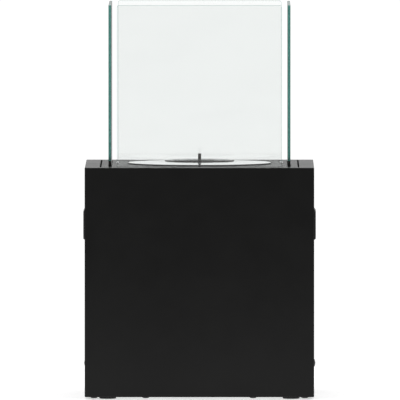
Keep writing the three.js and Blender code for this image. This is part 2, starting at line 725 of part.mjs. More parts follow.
function rearPanel() {
  const outline = extruded(roundedOutline(casingWidth, casingHeight - rearNotch, foldRadius), sheet);
  const skin = outline.rotate([90, 0, 0]).translate([0, halfDepth, (casingHeight + rearNotch) / 2]);
  const front = panelFront - over;
  const rear = halfDepth + over;
  const foldFront = panelFront - doorFold;
  const foldRear = halfDepth - sheet / 2;
  const footX = wheelX - tyreWidth / 2 - wheelPlay;
  const footFold = block([-footX, foldFront, rearNotch], [footX, foldRear, rearNotch + sheet]);
  const collarX = doorX + sheet;
  const collar = block([-collarX, foldFront, doorLow - sheet], [collarX, foldRear, doorHigh + sheet]);
  const opening = block([-doorX, foldFront - over, doorLow], [doorX, rear, doorHigh]);
  const valveHole = rod("y", sleeveHole, front, rear, [knobX, controlZ], 20);
  const igniterHole = rod("y", igniterRadius + igniterPlay, front, rear, [buttonX, controlZ], 20);
  const tools = [opening, valveHole, igniterHole];
  const wheelHigh = axleZ + Math.sqrt(wheelRadius ** 2 - wheelFromRear ** 2) + wheelPlay;
  for (const side of [-1, 1]) {
    const half = (tyreWidth + wheelPlay) / 2;
    tools.push(block([side * wheelX - half, front, 0], [side * wheelX + half, rear, wheelHigh]));
  }
  for (let row = 0; row < ventRows; row++) {
    for (let column = 0; column < 3; column++) {
      const x = upperVentX + column * (ventLength + ventGap);
      const z = controlZ + (row - 1) * ventPitch - ventHeight;
      tools.push(block([x, front, z], [x + ventLength, rear, z + ventHeight]));
    }
  }
  return cut(join(skin, collar, footFold), ...tools);
}

// Door, drawn about its hinge axis at x = 0, y = 0: it reaches towards -X.
function doorPanel() {
  const width = 2 * (doorX - doorPlay);
  const right = doorX - doorPlay - hingeX;
  const left = right - width;
  const low = doorLow + doorPlay;
  const high = doorHigh - doorPlay;
  const outer = halfDepth - hingeY;
  const inner = outer - sheet;
  const fold = outer - doorFold;
  const skin = softBlock([left, fold, low], [right, outer, high], sheet * 0.45);
  const hollow = block([left + sheet, fold - over, low + sheet], [right - sheet, inner, high - sheet]);
  const place = [latchX - hingeX, latchZ];
  const tools = [hollow, rod("y", latchStemRadius + pinFit, inner - over, outer + over, place, 24)];
  for (let row = 0; row < ventRows; row++) {
    const rise = ventMargin + row * ventPitch;
    for (const column of [-1, 0, 1]) {
      const x = (left + right - ventLength) / 2 + column * (ventLength + ventGap);
      for (const z of [low + rise, high - rise - ventHeight]) {
        tools.push(block([x, inner - over, z], [x + ventLength, outer + over, z + ventHeight]));
      }
    }
  }
  return cut(skin, ...tools);
}

// A hinge leaf about the axis x = 0, y = 0, centred on z = 0: it reaches to side * X, has a knuckle over
// each of the given spans of z, and is cut clear of the other leaf's knuckles over the gaps.
function hingeLeaf(side, knuckles, gaps) {
  const face = -knuckleRadius;
  const along = (from, to) => [Math.min(side * from, side * to), Math.max(side * from, side * to)];
  const slab = (from, to, low, high) => {
    const [left, right] = along(from, to);
    return block([left, face, low], [right, face + sheet, high]);
  };
  const clear = knuckleRadius + runningGap;
  const parts = [slab(leafGap, leafReach, -hingeHalf, hingeHalf)];
  for (const [low, high] of knuckles) {
    parts.push(rod("z", knuckleRadius, low, high, [0, 0], 12));
    parts.push(slab(0, knuckleRadius - 0.5, low, high));
  }
  const tools = gaps.map(([low, high]) => block([-clear, -clear, low], [clear, clear, high]));
  return cut(join(...parts), ...tools);
}

// The leaf on the panel, with the hinge's pin riveted into its two knuckles.
function fixedLeaf() {
  const low = knuckleEnd + runningGap / 2;
  const head = hingePinRadius + 1.2;
  const crown = hingeHalf + 1.8;
  const foot = [[0, -crown], [head - 0.8, 0.2 - crown], [head, -hingeHalf], [hingePinRadius, -hingeHalf]];
  const top = [[hingePinRadius, hingeHalf], [head, hingeHalf], [head - 0.8, crown - 0.2], [0, crown]];
  const leaf = hingeLeaf(1, [[low, hingeHalf], [-hingeHalf, -low]], [[-knuckleEnd, knuckleEnd]]);
  return join(leaf, turned([...foot, ...top], 16));
}

// The leaf on the door, whose one knuckle turns on the pin.
function doorLeaf() {
  const high = knuckleEnd - runningGap / 2;
  const end = hingeHalf + over;
  const bore = rod("z", hingePinRadius + pinFit, -high - over, high + over, [0, 0], 16);
  return hingeLeaf(-1, [[-high, high]], [[knuckleEnd, end], [-end, -knuckleEnd]]).subtract(bore);
}

// Latch: a knob whose stem turns in the door's skin, and a cam on the stem behind it. Drawn about the
// latch axis, y = 0 at the door's outer face.
function latchKnob() {
  const disc = rod("y", latchDiscRadius, runningGap, latchDiscHeight, [0, 0], 20);
  const half = latchGripLength / 2;
  const grip = softBlock([-3.5, latchDiscHeight - over, -half], [3.5, latchGripReach, half], 1.5);
  const stem = rod("y", latchStemRadius, -latchStemEnd, latchDiscHeight - over, [0, 0], 24);
  return join(disc, grip, stem);
}

function latchCam() {
  const cam = extruded(roundedOutline(latchCamWidth, latchCamLength, 5), latchCamSheet);
  const drop = latchCamLength / 2 - latchCamWidth / 2 - over;
  return cam.rotate([90, 0, 0]).translate([0, -latchStemEnd - seatGap, -drop]);
}

// ---- Feet, wheels and fasteners ----

// Rubber foot, its sole at z = 0.
function foot() {
  const top = floorGap + basePlateZ - seatGap;
  const side = [[footRadius - 1.4, 0], [footRadius - 0.5, 1], [footRadius, 3], [footRadius, top]];
  return turned([[0, 0], ...side, [0, top]], 18);
}

// Tyre about the X axis, centred on the origin.
function tyre() {
  const half = tyreWidth / 2;
  const inner = wheelRadius - tyreDepth;
  const shoulder = wheelRadius - 2.5;
  const profile = [[inner, -half + 2], [shoulder, -half], [wheelRadius, -half + 4], [wheelRadius, half - 4]];
  return turned([...profile, [shoulder, half], [inner, half - 2]], wheelSides).rotate([0, 90, 0]);
}

// Wheel disc with a long hub that runs between the casing's wall and the bracket; the wall is towards +X.
function wheelDisc() {
  const rim = wheelRadius - tyreDepth - seatGap;
  const rimHalf = tyreWidth / 2 - 3;
  const rimIn = rim - 4;
  const hubOut = wheelFromSide - sheet - 1;
  const hubIn = -(tyreWidth / 2) - 3;
  const bore = axleRadius + wheelBoreFit;
  const web = wheelWeb / 2;
  const inSide = [[bore, hubIn], [hubRadius, hubIn], [hubRadius, -web], [rimIn, -web], [rimIn, -rimHalf]];
  const outSide = [[rimIn, rimHalf], [rimIn, web], [hubRadius, web], [hubRadius, hubOut], [bore, hubOut]];
  const disc = turned([...inSide, [rim, -rimHalf], [rim, rimHalf], ...outSide], wheelSides);
  const holes = [];
  for (let i = 0; i < wheelHoles; i++) {
    const angle = (2 * Math.PI * i) / wheelHoles;
    const place = [wheelHoleCircle * Math.cos(angle), wheelHoleCircle * Math.sin(angle)];
    holes.push(rod("z", wheelHoleRadius, -web - over, web + over, place, 6));
  }
  return cut(disc, ...holes).rotate([0, 90, 0]);
}

// Mushroom-head bolt along X, used as the wheel's axle: the head is outside, towards +X.
function axleBolt() {
  const crown = axleHeadHeight + seatGap;
  const tip = bracketX - 16 - halfWidth;
  const dome = [[axleHeadRadius, seatGap], [axleHeadRadius - 0.6, 1.8], [axleHeadRadius - 3, 3.6]];
  const profile = [[0, tip], [axleRadius, tip], [axleRadius, seatGap], ...dome, [0, crown]];
  return turned(profile, 20).rotate([0, 90, 0]);
}

// Bracket between the base plate and the axle's inner end, with a weld nut; drawn for the +X wheel.
function wheelBracket() {
  const low = basePlateTop + seatGap;
  const front = axleY - bracketFront;
  const inner = bracketX - bracketReach;
  const face = bracketX - sheet;
  const upright = block([face, front, low], [bracketX, axleY + bracketTop, axleZ + bracketTop]);
  const flat = block([inner, front, low], [bracketX, basePlateRear, low + sheet]);
  const weldNut = rod("x", weldNutRadius, face - weldNutHeight, face + over, [axleY, axleZ], 6);
  const hole = rod("x", axleRadius + seatGap, inner, bracketX + over, [axleY, axleZ], 16);
  return cut(join(upright, flat, weldNut), hole);
}

// Low-head bolt under the casing's bottom return; z = 0 is the return's underside.
const baseBoltPlaces = [];
for (const side of [-1, 1]) {
  for (const inset of [baseBoltOuter, baseBoltInner]) {
    baseBoltPlaces.push([side * (halfWidth - inset), -halfDepth + baseBoltInset]);
  }
}

function baseBolt() {
  const top = basePlateTop + baseBoltTip;
  const crown = -baseBoltHeadHeight;
  const head = [[0, crown], [baseBoltHeadRadius - 2.5, crown], [baseBoltHeadRadius, -0.8]];
  const shank = [[baseBoltRadius, -seatGap], [baseBoltRadius, top], [0, top]];
  return turned([...head, [baseBoltHeadRadius, -seatGap], ...shank], 12);
}

// ---- Carry handle ----

// Moulded cup handle for the +X side: a chamfered flange outside and a finger pocket inside the wall.
function carryHandle() {
  const face = halfWidth + seatGap;
  const out = face + handleProud;
  const high = handleHeight / 2;
  const section = [[face, -high], [out, -high + handleFootTaper], [out, high - handleTopTaper], [face, high]];
  const bar = extruded(section, handleLength).rotate([90, 0, 0]).translate([0, handleLength / 2, 0]);
  const plan = extruded(roundedOutline(handleLength, handleHeight, handleCorner, 4), 2 * handleProud);
  const flange = bar.intersect(plan.rotate([90, 0, 90]).translate([face - over, 0, 0]));
  const floor = face - pocketDepth;
  const cupY = pocketLength / 2 + seatGap;
  const mouthY = cupY - pocketWall;
  const mouthZ = pocketHeight / 2;
  const cupZ = mouthZ + pocketWall;
  const cup = block([floor - pocketWall, -cupY, -cupZ], [face + over, cupY, cupZ]);
  const pocketEnd = [out + pocketDepth, mouthY, mouthZ - handleTopTaper];
  const pocket = softBlock([floor, -mouthY, -mouthZ], pocketEnd, 4);
  const hook = block([floor, -mouthY, 0], [face - 6, mouthY, mouthZ]);
  return cut(join(flange, cup), pocket, hook);
}

// ---- Assembly ----

piece("casing_wrap", casingWrap(), blackPaint);
piece("base_plate", basePlate(), zincSteel);
piece("burner_plate", burnerPlate(), blackPaint);
piece("plate_support", plateSupport(), zincSteel);
piece("heat_shield", heatShield(), zincSteel);
piece("rear_panel", rearPanel(), blackPaint);

// Glass on its four sides: name, middle of the pane, turn about Z, width.
const paneSides = [
  ["front", 0, -paneY, 0, frontPaneWidth],
  ["rear", 0, paneY, Math.PI, frontPaneWidth],
  ["left", -paneX, 0, -Math.PI / 2, sidePaneWidth],
  ["right", paneX, 0, Math.PI / 2, sidePaneWidth],
];
for (const [side, x, y, turn, width] of paneSides) {
  const place = new THREE.Group();
  place.position.set(x, y, plateTop);
  place.rotation.z = turn;
  casing.add(place);
  piece("glass_" + side, pane(width), clearGlass, place).position.z = -glassBelow + seatGap;
  piece("glass_channel_" + side, glassChannel(width), blackPaint, place).position.z = -sheet - seatGap;
  piece("tab_screw_" + side, tabScrew(), zincSteel, place).position.y = glassThickness / 2 + tabScrewReach;
}

piece("burner_ring", burnerRing(), polishedSteel).position.z = plateTop;
piece("burner_bowl", burnerBowl(), brushedSteel).position.z = plateTop;
piece("burner_annulus", burnerAnnulus(), darkSteel).position.z = bowlFloor + bowlSheet + seatGap;
piece("flame_sensor", flameSensor(), darkSteel).position.z = plateTop + sensorTop;
piece("spark_electrode", sparkElectrode(), ceramic).position.set(electrodeReach, 0, bowlFloor);
piece("mixing_tube", mixingTube(), brushedSteel);
piece("gas_injector", injector(), brass);
piece("valve_body", valveBody(), brass);

// Gas line and leads between the bowl and the heat shield
const sensorFoot = bowlFloor - 6 - seatGap;
const leadZ = shieldZ + shieldSheet + 4.5; // the leads lie just over the shield
const outletX = knobX + valveOutletReach + seatGap;
const valveFront = valveY - valveHalf;
const gasLine = [
  [outletX, valveY, mixerZ],
  [outletX + 14, valveY, mixerZ],
  [-12, valveY, mixerZ],
  [0, valveY - 14, mixerZ],
  [0, injectorRear + 8, mixerZ],
  [0, injectorRear + seatGap, mixerZ],
];
const sensorLine = [
  [0, 0, sensorFoot],
  [0, 0, sensorFoot - 5],
  [-12, 14, leadZ + 8],
  [-40, 50, leadZ + 1],
  [-90, 100, leadZ],
  [knobX + 10, valveFront - 40, leadZ + 1],
  [knobX, valveFront - 12, mixerZ],
  [knobX, valveFront - seatGap, mixerZ],
];
const igniterRear = halfDepth - igniterLength - seatGap;
const sparkLine = [
  [electrodeReach, 0, bowlFloor - electrodeFoot - seatGap],
  [electrodeReach, 0, bowlFloor - electrodeFoot - 6],
  [34, 24, leadZ + 8],
  [30, 60, leadZ],
  [0, 86, leadZ - 0.8],
  [-50, 130, leadZ],
  [buttonX + 6, igniterRear - 40, controlZ - 14],
  [buttonX, igniterRear - 12, controlZ],
  [buttonX, igniterRear, controlZ],
];
piece("gas_pipe", alongPath(gasLine, pipeRadius, 22, 8), copper);
piece("sensor_lead", alongPath(sensorLine, sensorLeadRadius, 22, 6), copper);
piece("ignition_lead", alongPath(sparkLine, sparkLeadRadius, 28, 6), silicone);

// Controls
piece("control_panel", controlPanel(), blackPlastic);
piece("valve_sleeve", valveSleeve(), brass).position.set(knobX, 0, controlZ);
const spindle = rod("y", spindleRadius, valveY + 10, knobRear + spindleInKnob, [0, 0], 20);
piece("valve_spindle", spindle, brass).position.set(knobX, 0, controlZ);
piece("control_knob", knob(), blackPlastic).position.set(knobX, knobRear, controlZ);
piece("igniter_housing", igniterHousing(), blackPlastic);
piece("igniter_button", igniterButton(), blackPlastic).position.set(buttonX, buttonRear, controlZ);

// Door with its latch, and the hinges between it and the rear panel
const door = new THREE.Group();
door.position.set(hingeX, hingeY, 0);
casing.add(door);
piece("door_panel", doorPanel(), blackPaint, door);
for (const [level, z] of [["lower", doorLow + hingeFromEdge], ["upper", doorHigh - hingeFromEdge]]) {
  const hinge = new THREE.Group();
  hinge.position.set(hingeX, hingeY, z);
  casing.add(hinge);
  piece("hinge_fixed_leaf_" + level, fixedLeaf(), blackPaint, hinge);
  piece("hinge_door_leaf_" + level, doorLeaf(), blackPaint, hinge);
}
const latch = new THREE.Group();
latch.position.set(latchX, halfDepth, latchZ);
casing.add(latch);
piece("latch_knob", latchKnob(), blackPlastic, latch);
piece("latch_cam", latchCam(), zincSteel, latch);

// Feet
const footPlaces = [
  ["front_left", -halfWidth + footFromSide, -halfDepth + footFromFront],
  ["front_right", halfWidth - footFromSide, -halfDepth + footFromFront],
  ["rear_left", -halfWidth + rearFootFromSide, halfDepth - rearFootFromRear],
  ["rear_right", halfWidth - rearFootFromSide, halfDepth - rearFootFromRear],
];
for (const [corner, x, y] of footPlaces) {
  piece("foot_" + corner, foot(), blackRubber).position.set(x, y, -floorGap);
}
baseBoltPlaces.forEach(([x, y], i) => {
  piece("base_bolt_" + (i + 1), baseBolt(), blackPaint).position.set(x, y, 0);
});

// Wheels, axles and handles: drawn for +X, and turned half round for -X where they have no front and rear
for (const [side, sign] of [["left", -1], ["right", 1]]) {
  const turn = sign < 0 ? Math.PI : 0;
  const wheel = new THREE.Group();
  wheel.position.set(sign * wheelX, axleY, axleZ);
  wheel.rotation.z = turn;
  casing.add(wheel);
  piece("tyre_" + side, tyre(), blackRubber, wheel);
  piece("wheel_disc_" + side, wheelDisc(), blackPlastic, wheel);
  const bolt = piece("axle_bolt_" + side, axleBolt(), darkSteel);
  bolt.position.set(sign * halfWidth, axleY, axleZ);
  bolt.rotation.z = turn;
  piece("wheel_bracket_" + side, wheelBracket(), zincSteel).scale.x = sign;
  const handle = piece("handle_" + side, carryHandle(), blackPlastic);
  handle.position.z = handleZ;
  handle.rotation.z = turn;
}

export default heater;
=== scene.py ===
"""Looks of a cubic outdoor gas heater: a powder-coated casing, a polished burner ring and four panes.

The heater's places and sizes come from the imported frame. Only the added details have sizes of their own,
named below. Lengths are in metres, +Z is up, the front faces -Y.
"""

import json
import math

import bmesh
import bpy
from mathutils import Matrix, Vector


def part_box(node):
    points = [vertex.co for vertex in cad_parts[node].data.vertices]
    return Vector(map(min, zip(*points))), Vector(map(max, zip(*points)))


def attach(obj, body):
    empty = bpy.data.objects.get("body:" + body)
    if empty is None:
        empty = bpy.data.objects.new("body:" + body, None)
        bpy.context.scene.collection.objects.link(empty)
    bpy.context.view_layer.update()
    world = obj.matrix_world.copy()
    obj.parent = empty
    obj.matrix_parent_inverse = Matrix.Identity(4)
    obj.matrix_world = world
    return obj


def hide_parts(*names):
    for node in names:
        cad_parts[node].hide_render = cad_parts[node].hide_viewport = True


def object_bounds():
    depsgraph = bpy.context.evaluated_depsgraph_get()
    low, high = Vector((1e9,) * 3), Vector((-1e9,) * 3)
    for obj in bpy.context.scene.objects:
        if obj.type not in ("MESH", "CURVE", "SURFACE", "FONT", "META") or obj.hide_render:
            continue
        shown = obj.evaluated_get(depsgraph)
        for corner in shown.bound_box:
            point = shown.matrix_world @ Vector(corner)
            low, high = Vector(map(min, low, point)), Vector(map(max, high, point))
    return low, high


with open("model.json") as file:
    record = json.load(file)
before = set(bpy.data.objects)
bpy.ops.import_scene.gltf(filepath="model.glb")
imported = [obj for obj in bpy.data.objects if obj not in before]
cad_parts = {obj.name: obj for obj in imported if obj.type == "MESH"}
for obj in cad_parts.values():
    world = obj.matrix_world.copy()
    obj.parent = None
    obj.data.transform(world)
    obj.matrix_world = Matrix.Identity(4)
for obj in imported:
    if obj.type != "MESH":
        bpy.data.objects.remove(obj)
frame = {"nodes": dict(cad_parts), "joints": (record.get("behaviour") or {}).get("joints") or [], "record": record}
cad_low, cad_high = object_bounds()

MM = 0.001
AXES = {"x": 0, "y": 1, "z": 2}
SLOT_OF = {part["node"]: part["material_slot"] for part in frame["record"]["subparts"]}
BODY_OF = {
    node: body for body, nodes in frame["record"]["behaviour"]["bodies"].items() for node in nodes
}
JOINTS = {joint["name"]: joint for joint in frame["joints"]}

# ---- Camera, light and floor ----
VIEW_ELEVATION = math.radians(2.2)
VIEW_AZIMUTH = math.radians(0.094)
VIEW_WIDTH = 0.8709  # seen at the front face
VIEW_SIDE = 1.3 * MM  # middle of the view from the middle of the casing
VIEW_RISE = 0.430  # middle of the view above the casing's foot
LENS = 1650.0
SENSOR = 36.0
CLIP_END = 300.0
FLOOR_HALF = 1.3
FLOOR_GAP = 0.2 * MM  # under the soles
FLOOR_GLOW = 0.52  # keeps the floor white under the weak lights
BOX_SIDE = 3.0  # two softboxes, placed to the left and right of the heater
BOX_FRONT = 0.6
BOX_RISE = 1.3
BOX_SIZE = 2.2
LEFT_POWER = 12.0
RIGHT_POWER = 10.0
SKY_SEEN = 1.06  # background behind the heater
SKY_FRONT = 0.60  # light from the front, the sides and the rear
SKY_SIDE = 0.80
SKY_REAR = 1.0
SKY_HORIZON = 0.35  # part of that light near the horizon
HORIZON_TOP = 0.11  # sine of the height where the light is full

# ---- Fineness of the meshes ----
ROUND_STEPS = 96
SMALL_ROUND_STEPS = 48
SHARP_ANGLE = math.radians(32)
FLAT_ANGLE = math.radians(0.05)
EDGE_ROUNDING = 0.45 * MM
MERGE = 0.004 * MM
NEAR = 0.02 * MM  # how close a vertex counts as lying on a turned node's axis or section plane

# ---- Looks that depend on a place ----
DARK_REFLECTION_RADIUS = 82 * MM  # painted darker reflection: the ring's colour is darkened inside this radius and full outside the next
BRIGHT_RADIUS = 118 * MM
DARK_EDGE_RISE = 12.6 * MM  # painted shade on the panes' edges: black up to this height above the burner plate
DARK_EDGE_BLUR = 0.4 * MM


# ---- Node materials ----



class Shader:
    """A Principled material under construction, with short calls for the nodes that it uses."""

    def __init__(self, name):
        self.material = bpy.data.materials.new(name)
        self.material.use_nodes = True
        self.tree = self.material.node_tree
        self.principled = self.tree.nodes["Principled BSDF"]
        self.place = self.node("ShaderNodeTexCoord").outputs["Object"]

    def node(self, kind, **settings):
        made = self.tree.nodes.new(kind)
        for key, value in settings.items():
            setattr(made, key, value)
        return made

    def link(self, source, target):
        self.tree.links.new(source, target)

    def set(self, **values):
        for key, value in values.items():
            self.principled.inputs[key.replace("_", " ")].default_value = value

    def stretched(self, scale):
        """Object coordinates multiplied by a scale along each axis."""
        mapping = self.node("ShaderNodeMapping")
        mapping.inputs["Scale"].default_value = scale
        self.link(self.place, mapping.inputs["Vector"])
        return mapping.outputs["Vector"]

    def noise(self, scale, detail=3.0, rough=0.5, vector=None):
        made = self.node("ShaderNodeTexNoise")
        made.inputs["Scale"].default_value = scale
        made.inputs["Detail"].default_value = detail
        made.inputs["Roughness"].default_value = rough
        self.link(vector or self.place, made.inputs["Vector"])
        return made.outputs["Fac"]

    def spread(self, source, low, high, start=0.35, end=0.65):
        """Maps a noise to the range low to high."""
        made = self.node("ShaderNodeMapRange")
        made.inputs["From Min"].default_value = start
        made.inputs["From Max"].default_value = end
        made.inputs["To Min"].default_value = low
        made.inputs["To Max"].default_value = high
        self.link(source, made.inputs["Value"])
        return made.outputs["Result"]

    def blend(self, factor, first, second):
        """Mixes two colours, each a tuple or a socket."""
        made = self.node("ShaderNodeMix", data_type="RGBA")
        self.link(factor, made.inputs["Factor"])
        for name, colour in (("A", first), ("B", second)):
            socket = [s for s in made.inputs if s.name == name and s.type == "RGBA"][0]
            if isinstance(colour, tuple):
                socket.default_value = (*colour, 1.0)
            else:
                self.link(colour, socket)
        return [s for s in made.outputs if s.type == "RGBA"][0]

    def edges(self, radius):
        """0 on flat faces, rising to 1 along convex and concave edges."""
        rounded = self.node("ShaderNodeBevel", samples=4)
        rounded.inputs["Radius"].default_value = radius
        geometry = self.node("ShaderNodeNewGeometry")
        compare = self.node("ShaderNodeVectorMath", operation="DOT_PRODUCT")
        self.link(rounded.outputs["Normal"], compare.inputs[0])
        self.link(geometry.outputs["Normal"], compare.inputs[1])
        return self.spread(compare.outputs["Value"], 1.0, 0.0, start=0.90, end=0.995)

    def times(self, first, second):
        made = self.node("ShaderNodeMath", operation="MULTIPLY")
        self.link(first, made.inputs[0])
        self.link(second, made.inputs[1])
        return made.outputs["Value"]

    def bumps(self, *layers):
        """Stacks bumps, each (height socket, depth in metres, strength)."""
        normal = None
        for height, depth, strength in layers:
            made = self.node("ShaderNodeBump")
            made.inputs["Distance"].default_value = depth
            made.inputs["Strength"].default_value = strength
            self.link(height, made.inputs["Height"])
            if normal:
                self.link(normal, made.inputs["Normal"])
            normal = made.outputs["Normal"]
        self.link(normal, self.principled.inputs["Normal"])

    def colour(self, socket):
        self.link(socket, self.principled.inputs["Base Color"])

    def roughness(self, socket):
        self.link(socket, self.principled.inputs["Roughness"])


def powder_coat():
    """Satin black powder coat: a fine orange-peel grain, and edges where the coat is thinner."""
    s = Shader("black_paint")
    clouds = s.noise(7.0, detail=4.0)
    tone = s.blend(s.spread(clouds, 0.0, 1.0), (0.0040, 0.0040, 0.0039), (0.0052, 0.0052, 0.0050))
    specks = s.spread(s.noise(1900.0, detail=2.0), 0.0, 0.35, start=0.60, end=0.78)
    tone = s.blend(specks, tone, (0.012, 0.012, 0.012))
    worn = s.times(s.edges(0.7 * MM), s.spread(s.noise(60.0), 0.2, 0.8))
    s.colour(s.blend(worn, tone, (0.026, 0.026, 0.026)))
    s.roughness(s.spread(s.noise(28.0, detail=5.0), 0.35, 0.39))
    s.bumps((s.noise(950.0, detail=2.0), 0.05 * MM, 0.30), (s.noise(240.0), 0.10 * MM, 0.12))
    s.set(Specular_IOR_Level=0.22)
    return s.material


def ring_steel():
    """Polished stainless steel with turned marks and a little waviness, and a painted darker reflection towards
    the mouth.
    """
    s = Shader("polished_steel")
    low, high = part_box("burner_ring")
    middle = (low + high) / 2
    shift = s.node("ShaderNodeVectorMath", operation="SUBTRACT")
    shift.inputs[1].default_value = middle
    s.link(s.place, shift.inputs[0])
    turned = s.node("ShaderNodeTexWave", wave_type="RINGS", rings_direction="Z")
    turned.inputs["Scale"].default_value = 260.0
    turned.inputs["Distortion"].default_value = 1.2
    turned.inputs["Detail"].default_value = 2.0
    s.link(shift.outputs["Vector"], turned.inputs["Vector"])
    flat = s.node("ShaderNodeVectorMath", operation="MULTIPLY")
    flat.inputs[1].default_value = (1.0, 1.0, 0.0)
    s.link(shift.outputs["Vector"], flat.inputs[0])
    out = s.node("ShaderNodeVectorMath", operation="LENGTH")
    s.link(flat.outputs["Vector"], out.inputs[0])
    bright = s.blend(s.spread(s.noise(22.0), 0.0, 1.0), (0.78, 0.79, 0.79), (0.84, 0.85, 0.85))
    # painted darker reflection: the colour darkens inside a radius, broken up by noise
    painted_dark_reflection = s.spread(out.outputs["Value"], 1.0, 0.0, start=DARK_REFLECTION_RADIUS, end=BRIGHT_RADIUS)
    s.colour(s.blend(s.times(painted_dark_reflection, s.spread(s.noise(34.0), 0.6, 1.0)), bright, (0.36, 0.365, 0.37)))
    s.roughness(s.spread(s.noise(90.0, detail=4.0), 0.04, 0.10))
    s.bumps(
        (s.noise(15.0, detail=1.0), 1.6 * MM, 0.26),
        (turned.outputs["Fac"], 0.01 * MM, 0.10),
    )
    s.set(Metallic=1.0)
    return s.material


def burner_steel():
    """Satin stainless steel, tinted straw and blue by the flame."""
    s = Shader("burner_steel")
    tint = s.blend(s.spread(s.noise(26.0, detail=5.0), 0.0, 1.0), (0.40, 0.39, 0.37), (0.34, 0.25, 0.15))
    blued = s.spread(s.noise(17.0, detail=4.0), 0.0, 0.55, start=0.52, end=0.72)
    s.colour(s.blend(blued, tint, (0.12, 0.13, 0.19)))
    s.roughness(s.spread(s.noise(70.0, detail=4.0), 0.24, 0.42))
    s.bumps((s.noise(1.0, vector=s.stretched((90.0, 90.0, 1400.0))), 0.03 * MM, 0.25))
    s.set(Metallic=1.0)
    return s.material


def zinc_steel():
    """Galvanised sheet with soft spangles and pale stains."""
    s = Shader("zinc_steel")
    cells = s.node("ShaderNodeTexVoronoi", feature="F1")
    cells.inputs["Scale"].default_value = 95.0
    s.link(s.place, cells.inputs["Vector"])
    spangle = s.node("ShaderNodeSeparateColor")
    s.link(cells.outputs["Color"], spangle.inputs["Color"])
    shade = spangle.outputs["Red"]
    tone = s.blend(shade, (0.38, 0.39, 0.39), (0.50, 0.51, 0.50))
    stain = s.spread(s.noise(14.0, detail=6.0), 0.0, 0.5, start=0.50, end=0.75)
    s.colour(s.blend(stain, tone, (0.60, 0.60, 0.58)))
    s.roughness(s.spread(shade, 0.34, 0.50, start=0.0, end=1.0))
    s.bumps((s.noise(600.0), 0.03 * MM, 0.15))
    s.set(Metallic=0.92)
    return s.material


def dark_steel():
    """Burner steel scaled dark by heat. On the burner ring's steep faces it stands for painted shade."""
    s = Shader("dark_steel")
    scale = s.spread(s.noise(120.0, detail=6.0), 0.0, 1.0)
    tone = s.blend(scale, (0.030, 0.030, 0.031), (0.085, 0.078, 0.072))
    s.colour(s.blend(s.times(s.edges(0.5 * MM), scale), tone, (0.16, 0.15, 0.14)))
    s.roughness(s.spread(s.noise(200.0, detail=4.0), 0.38, 0.62))
    s.bumps((s.noise(700.0, detail=4.0), 0.05 * MM, 0.35))
    s.set(Metallic=0.75)
    return s.material


def axle_steel():
    """Dark zinc plate on turned bolt heads."""
    s = Shader("axle_steel")
    clouds = s.spread(s.noise(260.0, detail=4.0), 0.0, 1.0)
    tone = s.blend(clouds, (0.026, 0.026, 0.027), (0.050, 0.050, 0.050))
    s.colour(s.blend(s.edges(0.5 * MM), tone, (0.12, 0.12, 0.12)))
    s.roughness(s.spread(s.noise(420.0, detail=3.0), 0.30, 0.46))
    s.bumps((s.noise(900.0), 0.02 * MM, 0.25))
    s.set(Metallic=0.85)
    return s.material


def moulded(name, dark, light, rough, grain, depth, worn):
    """A moulded plastic or rubber: an even grain, faint clouds and rubbed edges."""
    s = Shader(name)
    tone = s.blend(s.spread(s.noise(18.0, detail=4.0), 0.0, 1.0), dark, light)
    rubbed = s.times(s.edges(0.6 * MM), s.spread(s.noise(130.0), 0.1, 0.8))
    s.colour(s.blend(rubbed, tone, worn))
    s.roughness(s.spread(s.noise(45.0, detail=4.0), rough[0], rough[1]))
    s.bumps((s.noise(grain, detail=2.0), depth, 0.40), (s.noise(grain / 5), depth, 0.15))
    s.set(Specular_IOR_Level=0.40)
    return s.material


def metal(name, dark, light, rough, tarnish, brushed=(300.0, 300.0, 300.0)):
    """Bare brass or copper with dull patches and fine drawn lines."""
    s = Shader(name)
    tone = s.blend(s.spread(s.noise(40.0, detail=4.0), 0.0, 1.0), dark, light)
    dull = s.spread(s.noise(24.0, detail=6.0), 0.0, 0.7, start=0.50, end=0.72)
    s.colour(s.blend(dull, tone, tarnish))
    s.roughness(s.spread(s.noise(80.0, detail=4.0), rough[0], rough[1]))
    s.bumps((s.noise(1.0, vector=s.stretched(brushed)), 0.02 * MM, 0.30))
    s.set(Metallic=1.0)
    return s.material


def ceramic():
    """Glazed white ceramic with a few scorched spots."""
    s = Shader("ceramic")
    scorch = s.spread(s.noise(210.0, detail=5.0), 0.0, 0.6, start=0.56, end=0.74)
    s.colour(s.blend(scorch, (0.78, 0.75, 0.68), (0.32, 0.25, 0.18)))
    s.roughness(s.spread(s.noise(150.0), 0.14, 0.30))
    s.bumps((s.noise(380.0), 0.03 * MM, 0.2))
    s.set(Coat_Weight=0.4, Coat_Roughness=0.08)
    return s.material


def glass(name, tint, clear, rough, shaded_below=None):
    """Float glass with faint smears. An edge is less clear, and holds the green of the glass's depth.

    Below a given height the edge is black, a painted shade of the dark slot seen through it.
    """
    s = Shader(name)
    smear = s.noise(9.0, detail=6.0, rough=0.6, vector=s.stretched((1.0, 1.0, 2.6)))
    dimmed = tuple(0.985 * c for c in tint)
    tone = s.blend(s.spread(smear, 0.0, 1.0, start=0.45, end=0.8), tint, dimmed)
    # painted shade: the edge turns black below the given height
    if shaded_below:
        split = s.node("ShaderNodeSeparateXYZ")
        s.link(s.place, split.inputs["Vector"])
        above = s.spread(split.outputs["Z"], 0.0, 1.0, start=shaded_below - DARK_EDGE_BLUR, end=shaded_below + DARK_EDGE_BLUR)
        tone = s.blend(above, (0.004, 0.004, 0.004), tone)
    s.colour(tone)
    s.roughness(s.spread(smear, rough, rough + 0.012, start=0.5, end=0.8))
    s.bumps((s.noise(3.0, detail=1.0), 0.4 * MM, 0.02))
    s.set(Transmission_Weight=clear, IOR=1.50)
    return s.material


